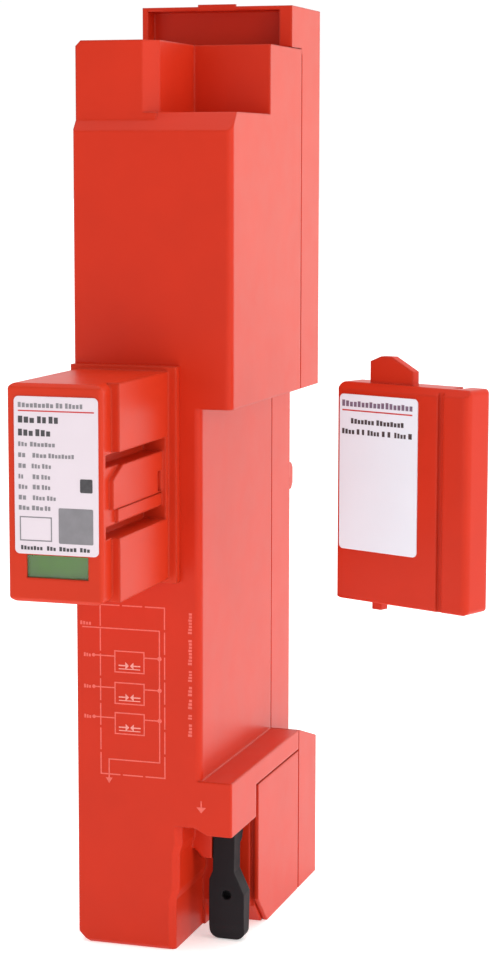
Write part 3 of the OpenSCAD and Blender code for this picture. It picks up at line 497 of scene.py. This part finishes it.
def frame_outlines():
    """Strokes of the dashed frame round the circuit."""
    x0, x1, z0, z1 = CIRCUIT_FRAME
    corners = rectangle(x0, x1, z0, z1)
    strokes = []
    for i in range(4):
        strokes += dashes(corners[i], corners[(i + 1) % 4])
    return strokes


def run_outlines():
    """Strokes of the top lead, the common riser and the run to earth with its arrow head."""
    turns = [(LEAD_X + TOP_LEAD_END, TOP_LEAD_Z), (RISER_X, TOP_LEAD_Z), (RISER_X, RUN_Z),
             (EARTH_X, RUN_Z), (EARTH_X, EARTH_Z + EARTH_STEM)]
    strokes = [line(start, end) for start, end in zip(turns, turns[1:])]
    shoulder = EARTH_Z + EARTH_SHOULDER
    strokes.append([(EARTH_X, EARTH_Z + EARTH_TIP), (EARTH_X + EARTH_HALF, shoulder),
                    (EARTH_X - EARTH_HALF, shoulder)])
    return strokes


def box_outlines(foot):
    """Strokes of one box: its sides, and its leads with their dots."""
    left, right = BOX_X
    lead = foot + LEAD_RISE
    strokes = loop_lines(left, right, foot, foot + BOX_H)
    strokes.append(line((LEAD_X + LEAD_END, lead), (left, lead)))
    strokes.append(line((right, lead), (RISER_X, lead)))
    strokes.append(disc(RISER_X, lead, DOT_R))
    strokes.append(disc(LEAD_X + LEAD_DOT, lead, LEAD_DOT_R))
    return strokes


def gap_outlines(foot):
    """Strokes of the gap in one box: two arrows that meet, over a thin line."""
    left, right = BOX_X
    middle = (left + right) / 2
    gap_z = foot + GAP_RISE
    strokes = [line((left + BOX_INSET, gap_z), (middle - GAP_HALF, gap_z))]
    strokes.append(line((middle + GAP_HALF, gap_z), (right - BOX_INSET, gap_z)))
    for way in (-1, 1):
        far = middle + way * HEAD_FAR
        head = [(far, gap_z - HEAD_HALF), (middle + way * HEAD_NEAR, gap_z), (far, gap_z + HEAD_HALF)]
        strokes.append(head[::way])
    foot_z = foot + FOOT_RISE
    strokes.append(line((left + BOX_INSET, foot_z), (right - BOX_INSET, foot_z), FOOT_W))
    return strokes


front_face = face_frame((0, 0, 0))
circuit = frame_outlines() + run_outlines()
gaps = []
for box_foot in BOX_FOOT:
    circuit += box_outlines(box_foot)
    gaps += gap_outlines(box_foot)
printed("circuit_print", front_face, circuit, print_pale)
printed("gap_print", front_face, gaps, print_white)
printed("side_print", front_face, words(SIDE_PRINT), print_pale)
lead_rows = [(-foot - LEAD_RISE, LEAD_PRINT_H, [LEAD_PRINT]) for foot in BOX_FOOT]
lead_rows.append((-TOP_LEAD_Z - TOP_LEAD_PRINT_RISE, LEAD_PRINT_H, [TOP_LEAD_PRINT]))
printed("lead_print", front_face, words(lead_rows, 0), print_pale)
u, v = ARROW_AT
shoulder = v + ARROW_SHOULDER
arrow_head = [(u, v - ARROW_DROP), (u + ARROW_DROP, shoulder), (u - ARROW_DROP, shoulder)]
arrow = [line((u, v + ARROW_STEM), (u, v)), arrow_head]
printed("terminal_arrow", front_face, arrow, print_pale)


def add_spring(name, node, turns):
    """A coil of round wire that stands for a solid and fills that solid's box."""
    low, high = (Vector(corner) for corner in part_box(node))
    wire = WIRE_R * MM
    coil_r = (high.x - low.x) / 2 - wire
    middle = (low + high) / 2
    steps = turns * TURN_STEPS
    rise = (high.z - low.z - 2 * wire) / steps
    bm = bmesh.new()
    rings = []
    for i in range(steps + 1):
        around = 2 * math.pi * i / TURN_STEPS
        ring = []
        for j in range(WIRE_SIDES):
            angle = 2 * math.pi * j / WIRE_SIDES
            radius = coil_r + wire * math.cos(angle)
            x = middle.x + radius * math.cos(around)
            y = middle.y + radius * math.sin(around)
            z = low.z + wire + i * rise + wire * math.sin(angle)
            ring.append(bm.verts.new((x, y, z)))
        rings.append(ring)
    for first, second in zip(rings, rings[1:]):
        for j in range(WIRE_SIDES):
            k = (j + 1) % WIRE_SIDES
            bm.faces.new((first[j], first[k], second[k], second[j])).smooth = True
    bm.faces.new(rings[0][::-1])
    bm.faces.new(rings[-1])
    obj = add_object(name, bm, looks["spring_steel"])
    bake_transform(obj)
    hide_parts(node)


add_spring("trip_spring_coil", "trip_spring", TRIP_TURNS)
add_spring("latch_spring_coil", "latch_spring", LATCH_TURNS)


# Light that the floor itself gives off, so that it meets the backdrop without a line
FLOOR_GLOW = {"Emission Color": (1, 1, 1, 1), "Emission Strength": 0.45, SPECULAR: 0.1}
FLOOR_R = 12
FLOOR_SIDES = 96
FLOOR_PALE = (0.93, 0.93, 0.93)
# Colours of the lights, and the point that they look at
WARM = (1.0, 0.94, 0.80)
WHITE = (1, 1, 1)
AIM = (0, -0.03, 0)
# Soft lights: place, width and height in metres, watts and colour
SOFTBOXES = {
    "softbox_right": ((1.22, -0.58, 0.34), (0.85, 0.85), 4.2, WARM),
    "softbox_rear": ((0.75, 1.5, 0.4), (0.9, 1.0), 2.6, WARM),
    "softbox_front": ((0.25, -1.35, 0.3), (0.6, 0.6), 0.7, WARM),
    "softbox_top": ((0.1, -0.1, 1.5), (1.2, 1.2), 9.0, WHITE),
}
# Strength of the studio all round, towards the front, and the share of it overhead
STUDIO = 1.02
STUDIO_FRONT = 0.15
STUDIO_OVERHEAD = 0.95
# Directions between which the studio dims: to the front, up from the horizon, and overhead
FRONT_Y = (-0.9, -0.35)
FRONT_Z = (0.07, 0.12)
OVERHEAD_Z = (0.5, 0.9)


def add_floor():
    """A wide pale floor at the body's foot."""
    bm = bmesh.new()
    bmesh.ops.create_circle(bm, cap_ends=True, radius=FLOOR_R, segments=FLOOR_SIDES)
    pale = finish_of("floor_pale", FLOOR_PALE, 0.8, tint=0.01, cloud=0.3, grain=0.002,
                     bump=0.02, round_edge=0.0001, **FLOOR_GLOW)
    floor = add_object("floor", bm, pale)
    floor.location.z = CORNER.z


def add_softbox(name, at, size, watts, colour):
    """A soft rectangular light that looks at the object."""
    light = bpy.data.lights.new(name, "AREA")
    light.shape = "RECTANGLE"
    light.size, light.size_y = size
    light.energy = watts
    light.color = colour
    obj = bpy.data.objects.new(name, light)
    obj.location = at
    obj.rotation_euler = (Vector(AIM) - Vector(at)).to_track_quat("-Z", "Y").to_euler()
    bpy.context.scene.collection.objects.link(obj)


def add_camera():
    """The camera at the photograph's place and angle."""
    camera = bpy.data.cameras.new("camera")
    camera.sensor_fit = "VERTICAL"
    camera.sensor_height = SENSOR
    camera.lens = SENSOR * FOCAL_SHARE
    camera.clip_start = 0.01
    obj = bpy.data.objects.new("camera", camera)
    yaw = Matrix.Rotation(math.radians(CAMERA_YAW), 4, "Z")
    pitch = Matrix.Rotation(math.radians(90 - CAMERA_PITCH), 4, "X")
    roll = Matrix.Rotation(math.radians(CAMERA_ROLL), 4, "Z")
    obj.matrix_world = Matrix.Translation(CAMERA_AT) @ yaw @ pitch @ roll
    bpy.context.scene.collection.objects.link(obj)
    bpy.context.scene.camera = obj


def light_world():
    """A bright studio all round that is dim to the front over the horizon, and less bright overhead."""
    world = bpy.data.worlds.new("studio")
    world.use_nodes = True
    tree = world.node_tree
    place = shader_node(tree, "ShaderNodeTexCoord")
    parts = shader_node(tree, "ShaderNodeSeparateXYZ")
    tree.links.new(place.outputs["Generated"], parts.inputs[0])
    front = ramp(tree, parts.outputs["Y"], *FRONT_Y, 1, 0)
    raised = ramp(tree, parts.outputs["Z"], *FRONT_Z, 0, 1)
    level = ramp(tree, product(tree, front, raised), 0, 1, STUDIO, STUDIO_FRONT)
    level = product(tree, level, ramp(tree, parts.outputs["Z"], *OVERHEAD_Z, 1, STUDIO_OVERHEAD))
    tree.links.new(level, tree.nodes["Background"].inputs["Strength"])
    tree.nodes["Background"].inputs["Color"].default_value = (1, 1, 1, 1)
    bpy.context.scene.world = world


add_floor()
light_world()
for softbox, settings in SOFTBOXES.items():
    add_softbox(softbox, *settings)
add_camera()
bpy.context.scene.view_settings.view_transform = "Standard"
